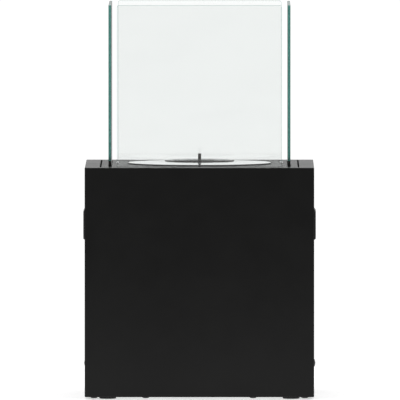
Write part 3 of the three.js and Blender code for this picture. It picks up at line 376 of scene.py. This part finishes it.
def printed_white():
    """Slightly worn white marking ink."""
    s = Shader("marking_ink")
    s.colour(s.blend(s.spread(s.noise(900.0), 0.0, 1.0), (0.52, 0.52, 0.50), (0.70, 0.70, 0.68)))
    s.roughness(s.spread(s.noise(400.0), 0.45, 0.65))
    s.bumps((s.noise(1500.0), 0.02 * MM, 0.3))
    return s.material


MATERIALS = {
    "black_paint": powder_coat(),
    "polished_steel": ring_steel(),
    "burner_steel": burner_steel(),
    "zinc_steel": zinc_steel(),
    "dark_steel": dark_steel(),
    "axle_steel": axle_steel(),
    "clear_glass": glass("clear_glass", (0.914, 0.928, 0.922), 1.0, 0.0),
    "black_plastic": moulded(
        "black_plastic", (0.0060, 0.0060, 0.0060), (0.0095, 0.0095, 0.0095),
        (0.42, 0.54), 1500.0, 0.05 * MM, (0.030, 0.030, 0.030),
    ),
    "black_rubber": moulded(
        "black_rubber", (0.0055, 0.0055, 0.0055), (0.0100, 0.0098, 0.0095),
        (0.66, 0.82), 900.0, 0.06 * MM, (0.022, 0.022, 0.021),
    ),
    "tyre_rubber": moulded(
        "tyre_rubber", (0.0080, 0.0078, 0.0075), (0.0190, 0.0180, 0.0165),
        (0.70, 0.88), 700.0, 0.10 * MM, (0.035, 0.033, 0.030),
    ),
    "brass": metal("brass", (0.46, 0.30, 0.09), (0.60, 0.42, 0.14), (0.20, 0.34), (0.26, 0.17, 0.07)),
    "copper": metal(
        "copper", (0.50, 0.19, 0.09), (0.64, 0.27, 0.14), (0.22, 0.38), (0.20, 0.085, 0.045),
        brushed=(500.0, 500.0, 500.0),
    ),
    "ceramic": ceramic(),
    "silicone": moulded(
        "silicone", (0.13, 0.012, 0.009), (0.19, 0.018, 0.013),
        (0.50, 0.66), 600.0, 0.05 * MM, (0.24, 0.04, 0.03),
    ),
}
# green pane edges, painted black near the burner plate as shade
PANE_EDGE = glass(
    "pane_edge", (0.110, 0.350, 0.300), 0.45, 0.12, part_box("burner_plate")[1].z + DARK_EDGE_RISE,
)
COLLAR = metal(
    "collar_steel", (0.50, 0.51, 0.51), (0.58, 0.59, 0.59), (0.14, 0.26), (0.40, 0.395, 0.385),
    brushed=(40.0, 40.0, 1500.0),
)
# near-white zinc for the side tab screws: a painted highlight, the glint on their heads
SIDE_SCREW_GLINT = metal("glint_zinc", (0.86, 0.87, 0.87), (0.92, 0.93, 0.93), (0.30, 0.44), (0.66, 0.66, 0.65))
INK = printed_white()


# ---- Meshes ----


def joined_mesh(node):
    """The node's mesh as a bmesh with its shared corners joined."""
    bm = bmesh.new()
    bm.from_mesh(frame["nodes"][node].data)
    bmesh.ops.remove_doubles(bm, verts=bm.verts, dist=MERGE)
    return bm


def cad_mesh(node):
    """The node's joined mesh with fewer slivers in its flat faces."""
    bm = joined_mesh(node)
    flat = [edge for edge in bm.edges if edge.is_manifold and edge.calc_face_angle() < FLAT_ANGLE]
    bmesh.ops.beautify_fill(bm, faces=bm.faces, edges=flat, method="ANGLE")
    return bm


def new_piece(name, bm, slot, body, materials=None):
    """Turns a bmesh into a shown piece that rides on a body."""
    mesh = bpy.data.meshes.new(name)
    bmesh.ops.recalc_face_normals(bm, faces=bm.faces)
    bm.to_mesh(mesh)
    bm.free()
    for material in materials or [MATERIALS[slot]]:
        mesh.materials.append(material)
    piece = bpy.data.objects.new(name, mesh)
    bpy.context.scene.collection.objects.link(piece)
    mesh.shade_smooth()
    mesh.set_sharp_from_angle(angle=SHARP_ANGLE)
    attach(piece, body)
    return piece


def stand_in(bm, node, **options):
    """A piece made from bm that stands for a CAD node."""
    piece = new_piece(node + "_fine", bm, SLOT_OF[node], BODY_OF[node], **options)
    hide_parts(node)
    return piece


def rounded(piece, width=EDGE_ROUNDING, segments=2, angle=SHARP_ANGLE):
    """Rounds a piece's edges and keeps its flat faces flat."""
    bevel = piece.modifiers.new("rounding", "BEVEL")
    bevel.width = width
    bevel.segments = segments
    bevel.limit_method = "ANGLE"
    bevel.angle_limit = angle
    bevel.use_clamp_overlap = False
    weighted = piece.modifiers.new("normals", "WEIGHTED_NORMAL")
    weighted.keep_sharp = True
    weighted.weight = 100
    return piece


def refined(node, width=EDGE_ROUNDING, segments=2, angle=SHARP_ANGLE):
    """A CAD node's shape with its edges rounded."""
    return rounded(stand_in(cad_mesh(node), node), width, segments, angle)


def section(node, axis):
    """The half section of a turned node, as (radius, height) points in order, and its axis' place."""
    low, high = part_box(node)
    along = AXES[axis]
    across = [i for i in range(3) if i != along]
    centre = (low + high) / 2
    bm = joined_mesh(node)
    best = {}
    for out, flat in (across, across[::-1]):
        for sign in (-1, 1):
            near = {
                v for v in bm.verts
                if abs(v.co[flat] - centre[flat]) < NEAR and sign * (v.co[out] - centre[out]) > -NEAR
            }
            links = {v: [e.other_vert(v) for e in v.link_edges if e.other_vert(v) in near] for v in near}
            links = {
                v: others for v, others in links.items()
                if len(others) in (1, 2) or on_axis(v, centre, across)
            }
            if len(links) > len(best):
                best = links
    points = walk(best, centre, across, along)
    bm.free()
    return points, centre


def on_axis(vertex, centre, across):
    return math.hypot(*(vertex.co[i] - centre[i] for i in across)) < NEAR


def walk(links, centre, across, along):
    """Follows the section's outline from the axis back to it, or once round."""
    ends = [v for v in links if on_axis(v, centre, across)]
    if ends:
        start = min(ends, key=lambda v: v.co[along])
    else:
        start = min(links, key=lambda v: (v.co[along], v.index))
    order = [start]
    seen = {start}
    while True:
        steps = [v for v in links[order[-1]] if v not in seen and v in links]
        steps = [v for v in steps if not (order[-1] is start and v in ends)] or steps
        if not steps:
            break
        order.append(steps[0])
        seen.add(steps[0])
        if steps[0] in ends:
            break
    return [(math.hypot(*(v.co[i] - centre[i] for i in across)), v.co[along]) for v in order]


def spun(points, centre, axis, steps=ROUND_STEPS, wave=None):
    """Turns a half section round an axis. wave(angle, radius, height) may change the radius."""
    along = AXES[axis]
    out, flat = [i for i in range(3) if i != along]
    closed = points[0][0] > MERGE
    bm = bmesh.new()
    rings = []
    for radius, height in points:
        ring = []
        count = steps if radius > MERGE else 1
        for i in range(count):
            angle = 2 * math.pi * i / steps
            r = wave(angle, radius, height) if wave else radius
            place = Vector((0, 0, 0))
            place[along] = height
            place[out] = centre[out] + r * math.cos(angle)
            place[flat] = centre[flat] + r * math.sin(angle)
            ring.append(bm.verts.new(place))
        rings.append(ring)
    pairs = list(zip(rings, rings[1:]))
    if closed:
        pairs.append((rings[-1], rings[0]))
    for first, second in pairs:
        if len(first) == 1 and len(second) == 1:
            continue
        for i in range(steps):
            j = (i + 1) % steps
            near_side = [first[i % len(first)], first[j % len(first)]]
            far_side = [second[j % len(second)], second[i % len(second)]]
            corners = near_side + far_side
            bm.faces.new(list(dict.fromkeys(corners)))
    return bm


def respun(node, axis, steps=SMALL_ROUND_STEPS, width=EDGE_ROUNDING, wave=None, recess=None):
    """A turned CAD node made fine and round.

    recess = (radius, depth, end) hollows the first end (0) or the last end (-1) of its section.
    """
    points, centre = section(node, axis)
    if recess:
        radius, depth, end = recess
        height = points[end][1]
        floor = height - depth if end else height + depth
        hollow = [(radius, height), (0.85 * radius, floor), (0.0, floor)]
        points = points[:-1] + hollow if end else hollow[::-1] + points[1:]
        wave = lobed(radius)
    return rounded(stand_in(spun(points, centre, axis, steps, wave), node), width)


def lobed(inside):
    """A wave that gives six lobes to everything within a radius."""

    def wave(angle, radius, _height):
        return radius * (1 + LOBE_SHARE * math.cos(6 * angle)) if radius <= inside else radius

    return wave


def block(low, high):
    """A box between two corners, as a bmesh."""
    bm = bmesh.new()
    size = Vector(high) - Vector(low)
    middle = (Vector(high) + Vector(low)) / 2
    bmesh.ops.create_cube(bm, size=1.0, matrix=Matrix.Translation(middle) @ Matrix.Diagonal((*size, 1.0)))
    return bm


def join(parts):
    """Several bmeshes as one; the parts are used up."""
    whole = bmesh.new()
    for part in parts:
        mesh = bpy.data.meshes.new("part")
        part.to_mesh(mesh)
        part.free()
        whole.from_mesh(mesh)
        bpy.data.meshes.remove(mesh)
    return whole


def screw_head(name, place, axis, radius, slot, body):
    """A pan-head screw with a lobed recess, standing on a face that looks along the axis."""
    base = place[AXES[axis]]
    recess = SCREW_RECESS * radius
    rim = base + 0.28 * radius
    shoulder = base + 0.52 * radius
    top = base + 0.62 * radius
    head = [(0.0, base), (radius, base), (radius, rim), (0.80 * radius, shoulder), (recess, top)]
    hollow = [(0.36 * radius, rim), (0.0, rim)]
    bm = spun(head + hollow, Vector(place), axis, SCREW_STEPS, lobed(recess))
    return rounded(new_piece(name, bm, slot, body), 0.12 * radius)


# ---- Pieces ----

SHEET_ROUNDING = 0.35 * MM
FOLD_ROUNDING = 0.4 * MM
FOLD_ANGLE = math.radians(20)
PLATE_ROUNDING = 0.5 * MM
LOBE_SHARE = 0.16  # depth of a recess's lobes, from its radius
SCREW_RECESS = 0.42  # radius of a screw's recess, from its head's radius
SCREW_STEPS = 36
TAB_RECESS = (1.5 * MM, 1.6 * MM, -1)  # radius, depth, and the top end of the section
BASE_RECESS = (2.6 * MM, 1.5 * MM, 0)  # narrower than the shank; at the section's lower end
SCREW_END = 14 * MM  # hinge screw from the leaf's end
SKIN = 0.15 * MM  # thickness of the printed ticks
PANEL_SCREW = 2.6 * MM  # radius of the head
HINGE_SCREW = 3.0 * MM
TREAD_DEPTH = 1.0 * MM
RING_STEPS = 160
SHADE_STEEP_RISE = 0.8  # the ring's steep faces, where its normal rises less than this, take dark steel: painted shade of the gap under the rolled edge
TICKS = 9  # marks round the knob
TICK_WIDTH = 0.9 * MM
SHORT_TICK = 2.2 * MM
LONG_TICK = 4.0 * MM
TICK_GAP = 2.5 * MM
POINTER = 11 * MM
POINTER_INSET = 3 * MM
POINTER_PROUD = 0.02 * MM  # a skin of ink on the grip
SCREW_INSET = 7 * MM
HINGE_SCREW_SHARE = 0.38  # from a leaf's outer edge towards the hinge axis
LEAF_SHEET = 2.0 * MM
SIDES = ("front", "rear", "left", "right")
HANDS = ("left", "right")


def casing():
    refined("casing_wrap", FOLD_ROUNDING, 3, FOLD_ANGLE)
    refined("burner_plate", PLATE_ROUNDING, 3, FOLD_ANGLE)
    refined("rear_panel", SHEET_ROUNDING)
    for node in ("base_plate", "plate_support", "heat_shield"):
        refined(node, SHEET_ROUNDING, 1)


def pane(name):
    """A pane with ground corners and polished arrises; its edges hold the glass's green."""
    bm = cad_mesh(name)
    low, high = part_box(name)
    thin = min(range(3), key=lambda i: high[i] - low[i])
    for face in bm.faces:
        face.material_index = 0 if abs(face.normal[thin]) > 0.9 else 1
    piece = stand_in(bm, name, materials=[MATERIALS["clear_glass"], PANE_EDGE])
    rounded(piece, 0.5 * MM, 2, math.radians(50))
    piece.modifiers["rounding"].material = 1


def panes():
    for side in SIDES:
        pane("glass_" + side)
        refined("glass_channel_" + side, 0.3 * MM)
        screw = respun("tab_screw_" + side, "z", width=0.3 * MM, recess=TAB_RECESS)
        # side screws take near-white zinc as a painted highlight; front and rear screws take dark steel
        screw.data.materials[0] = SIDE_SCREW_GLINT if side in HANDS else MATERIALS["axle_steel"]


def burner():
    ring = respun("burner_ring", "z", RING_STEPS)
    ring.data.materials.append(MATERIALS["dark_steel"])
    ring.data.materials.append(COLLAR)
    low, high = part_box("burner_ring")
    middle = (low + high) / 2
    crown = max(ring.data.vertices, key=lambda v: v.co.z).co
    mouth = math.hypot(crown.x - middle.x, crown.y - middle.y)
    # faces inside the mouth take the collar steel; steep faces take dark steel, a painted shade under the rolled
    # edge
    for face in ring.data.polygons:
        out = math.hypot(face.center.x - middle.x, face.center.y - middle.y)
        if out < mouth:
            face.material_index = 2
        elif abs(face.normal.z) < SHADE_STEEP_RISE:
            face.material_index = 1
    refined("burner_bowl", 0.4 * MM)
    refined("burner_annulus", 0.6 * MM)
    respun("flame_sensor", "z", width=0.4 * MM)
    refined("spark_electrode", 0.3 * MM)
    refined("mixing_tube", 0.4 * MM)
    refined("gas_injector", 0.3 * MM)


def gas_lines():
    for node in ("gas_pipe", "sensor_lead", "ignition_lead"):
        piece = stand_in(cad_mesh(node), node)
        smooth = piece.modifiers.new("smooth", "SUBSURF")
        smooth.levels = smooth.render_levels = 1


def controls():
    refined("control_panel", 0.8 * MM, 3)
    refined("valve_body", 0.6 * MM)
    refined("valve_sleeve", 0.2 * MM)
    respun("valve_spindle", "y", width=0.3 * MM)
    refined("control_knob", 0.8 * MM, 3)
    respun("igniter_housing", "y", width=0.4 * MM)
    respun("igniter_button", "y", width=0.5 * MM)
    knob_marks()
    panel_screws()


def knob_marks():
    """Ticks round the knob over its turn, and a pointer line on its grip."""
    low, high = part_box("control_knob")
    middle = (low + high) / 2
    radius = (high.x - low.x) / 2
    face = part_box("control_panel")[1].y
    turn = math.radians(JOINTS["knob_turn"]["range_deg"][1])
    ticks = []
    for i in range(TICKS):
        length = LONG_TICK if i in (0, TICKS - 1) else SHORT_TICK
        foot = radius + TICK_GAP
        tick = block((-TICK_WIDTH / 2, 0, foot), (TICK_WIDTH / 2, SKIN, foot + length))
        place = Matrix.Translation((middle.x, face, middle.z))
        tick.transform(place @ Matrix.Rotation(turn * i / (TICKS - 1), 4, "Y"))
        ticks.append(tick)
    marks = new_piece("knob_ticks", join(ticks), "ceramic", "casing", materials=[INK])
    rounded(marks, 0.05 * MM, 1)
    top = high.z - POINTER_INSET
    left = middle.x - TICK_WIDTH / 2
    line = block((left, high.y - SKIN, top - POINTER), (left + TICK_WIDTH, high.y + POINTER_PROUD, top))
    new_piece("knob_pointer", line, "ceramic", "knob", materials=[INK])


def panel_screws():
    low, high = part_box("control_panel")
    for x_name, x in (("left", low.x + SCREW_INSET), ("right", high.x - SCREW_INSET)):
        for z_name, z in (("low", low.z + SCREW_INSET), ("high", high.z - SCREW_INSET)):
            place = (x, high.y, z)
            screw_head(f"panel_screw_{z_name}_{x_name}", place, "y", PANEL_SCREW, "axle_steel", "casing")


def door():
    refined("door_panel", SHEET_ROUNDING)
    for end in ("lower", "upper"):
        refined("hinge_fixed_leaf_" + end, 0.3 * MM)
        refined("hinge_door_leaf_" + end, 0.3 * MM)
        hinge_screws(end)
    refined("latch_knob", 0.5 * MM, 3)
    refined("latch_cam", 0.4 * MM)


def hinge_screws(end):
    """Two screws in each leaf of a hinge."""
    axis = JOINTS["door_hinge"]["pos_m"][0]
    for leaf, body in (("fixed", "casing"), ("door", "door")):
        low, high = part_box(f"hinge_{leaf}_leaf_{end}")
        out = high.x if leaf == "fixed" else low.x
        x = out + (axis - out) * HINGE_SCREW_SHARE
        top = low.y + LEAF_SHEET
        for place, z in (("low", low.z + SCREW_END), ("high", high.z - SCREW_END)):
            name = f"hinge_screw_{leaf}_{end}_{place}"
            screw_head(name, (x, top, z), "y", HINGE_SCREW, "axle_steel", body)


def tread(node):
    """A wave that cuts cross grooves into a tyre's running face."""
    low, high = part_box(node)
    outside = (high.z - low.z) / 2 - TREAD_DEPTH
    step = 2 * math.pi / ROUND_STEPS

    def wave(angle, radius, _height):
        return radius - TREAD_DEPTH if radius > outside and round(angle / step) % 4 == 0 else radius

    return wave


def running_gear():
    for hand in HANDS:
        respun("tyre_" + hand, "x", ROUND_STEPS, 0.4 * MM, tread("tyre_" + hand))
        refined("wheel_disc_" + hand, 0.6 * MM)
        respun("axle_bolt_" + hand, "x", width=0.5 * MM)
        refined("wheel_bracket_" + hand, 0.4 * MM)
        refined("handle_" + hand, 1.0 * MM, 3)
        for end in ("front", "rear"):
            respun(f"foot_{end}_{hand}", "z", width=0.6 * MM)
    for number in range(1, 5):
        respun(f"base_bolt_{number}", "z", width=0.3 * MM, recess=BASE_RECESS)


# ---- Camera, light and floor ----


def make_camera():
    low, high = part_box("casing_wrap")
    target = Vector(((low.x + high.x) / 2 + VIEW_SIDE, low.y, low.z + VIEW_RISE))
    back = Vector((
        math.sin(VIEW_AZIMUTH) * math.cos(VIEW_ELEVATION),
        -math.cos(VIEW_AZIMUTH) * math.cos(VIEW_ELEVATION),
        math.sin(VIEW_ELEVATION),
    ))
    data = bpy.data.cameras.new("camera")
    data.sensor_width = SENSOR
    data.lens = LENS
    data.clip_start = 0.1
    data.clip_end = CLIP_END
    camera = bpy.data.objects.new("camera", data)
    bpy.context.scene.collection.objects.link(camera)
    camera.location = target + back * (VIEW_WIDTH * LENS / SENSOR)
    camera.rotation_mode = "QUATERNION"
    camera.rotation_quaternion = (-back).to_track_quat("-Z", "Y")
    bpy.context.scene.camera = camera


def make_floor():
    bm = bmesh.new()
    bmesh.ops.create_grid(bm, x_segments=4, y_segments=4, size=FLOOR_HALF)
    mesh = bpy.data.meshes.new("floor")
    bm.to_mesh(mesh)
    bm.free()
    floor = bpy.data.objects.new("floor", mesh)
    bpy.context.scene.collection.objects.link(floor)
    floor.location.z = cad_low.z - FLOOR_GAP
    s = Shader("floor")
    s.colour(s.blend(s.spread(s.noise(3.0), 0.0, 1.0), (0.88, 0.88, 0.88), (0.92, 0.92, 0.92)))
    s.set(Roughness=0.9, Specular_IOR_Level=0.1)
    s.set(Emission_Color=(1.0, 1.0, 1.0, 1.0), Emission_Strength=FLOOR_GLOW)
    mesh.materials.append(s.material)


def make_sky():
    """A plain studio: a white backdrop, brighter behind the heater than in front of it."""
    world = bpy.data.worlds.new("studio")
    bpy.context.scene.world = world
    world.use_nodes = True
    tree = world.node_tree
    nodes, links = tree.nodes, tree.links
    background = nodes["Background"]
    direction = nodes.new("ShaderNodeTexCoord").outputs["Generated"]
    split = nodes.new("ShaderNodeSeparateXYZ")
    links.new(direction, split.inputs["Vector"])
    ramp = nodes.new("ShaderNodeValToRGB")
    level = nodes.new("ShaderNodeMapRange")
    level.inputs["From Min"].default_value = -1.0
    links.new(split.outputs["Y"], level.inputs["Value"])
    links.new(level.outputs["Result"], ramp.inputs["Fac"])
    ramp.color_ramp.elements[0].color = (SKY_FRONT, SKY_FRONT, SKY_FRONT, 1)
    ramp.color_ramp.elements[1].color = (SKY_REAR, SKY_REAR, SKY_REAR, 1)
    middle = ramp.color_ramp.elements.new(0.5)
    middle.color = (SKY_SIDE, SKY_SIDE, SKY_SIDE, 1)
    paths = nodes.new("ShaderNodeLightPath")
    seen = nodes.new("ShaderNodeMath")
    seen.operation = "MAXIMUM"
    links.new(paths.outputs["Is Camera Ray"], seen.inputs[0])
    links.new(paths.outputs["Is Transmission Ray"], seen.inputs[1])
    mix = nodes.new("ShaderNodeMix")
    mix.data_type = "RGBA"
    links.new(seen.outputs["Value"], mix.inputs["Factor"])
    first, second = [s for s in mix.inputs if s.type == "RGBA"]
    horizon = nodes.new("ShaderNodeMapRange")
    horizon.interpolation_type = "SMOOTHSTEP"
    horizon.inputs["From Min"].default_value = 0.0
    horizon.inputs["From Max"].default_value = HORIZON_TOP
    horizon.inputs["To Min"].default_value = SKY_HORIZON
    links.new(split.outputs["Z"], horizon.inputs["Value"])
    dimmed = nodes.new("ShaderNodeVectorMath")
    dimmed.operation = "SCALE"
    links.new(ramp.outputs["Color"], dimmed.inputs[0])
    links.new(horizon.outputs["Result"], dimmed.inputs["Scale"])
    links.new(dimmed.outputs["Vector"], first)
    second.default_value = (SKY_SEEN, SKY_SEEN, SKY_SEEN, 1)
    links.new([s for s in mix.outputs if s.type == "RGBA"][0], background.inputs["Color"])


def make_light(name, place, aim, size, power):
    data = bpy.data.lights.new(name, "AREA")
    data.shape = "SQUARE"
    data.size = size
    data.energy = power
    light = bpy.data.objects.new(name, data)
    bpy.context.scene.collection.objects.link(light)
    light.location = place
    light.rotation_mode = "QUATERNION"
    light.rotation_quaternion = (Vector(aim) - Vector(place)).to_track_quat("-Z", "Y")


def make_lights():
    middle = (cad_low + cad_high) / 2
    make_light("left_box", (-BOX_SIDE, -BOX_FRONT, BOX_RISE), middle, BOX_SIZE, LEFT_POWER)
    make_light("right_box", (BOX_SIDE, -BOX_FRONT, BOX_RISE), middle, BOX_SIZE, RIGHT_POWER)


casing()
panes()
burner()
gas_lines()
controls()
door()
running_gear()
make_camera()
make_floor()
make_sky()
make_lights()
bpy.context.scene.view_settings.view_transform = "Standard"
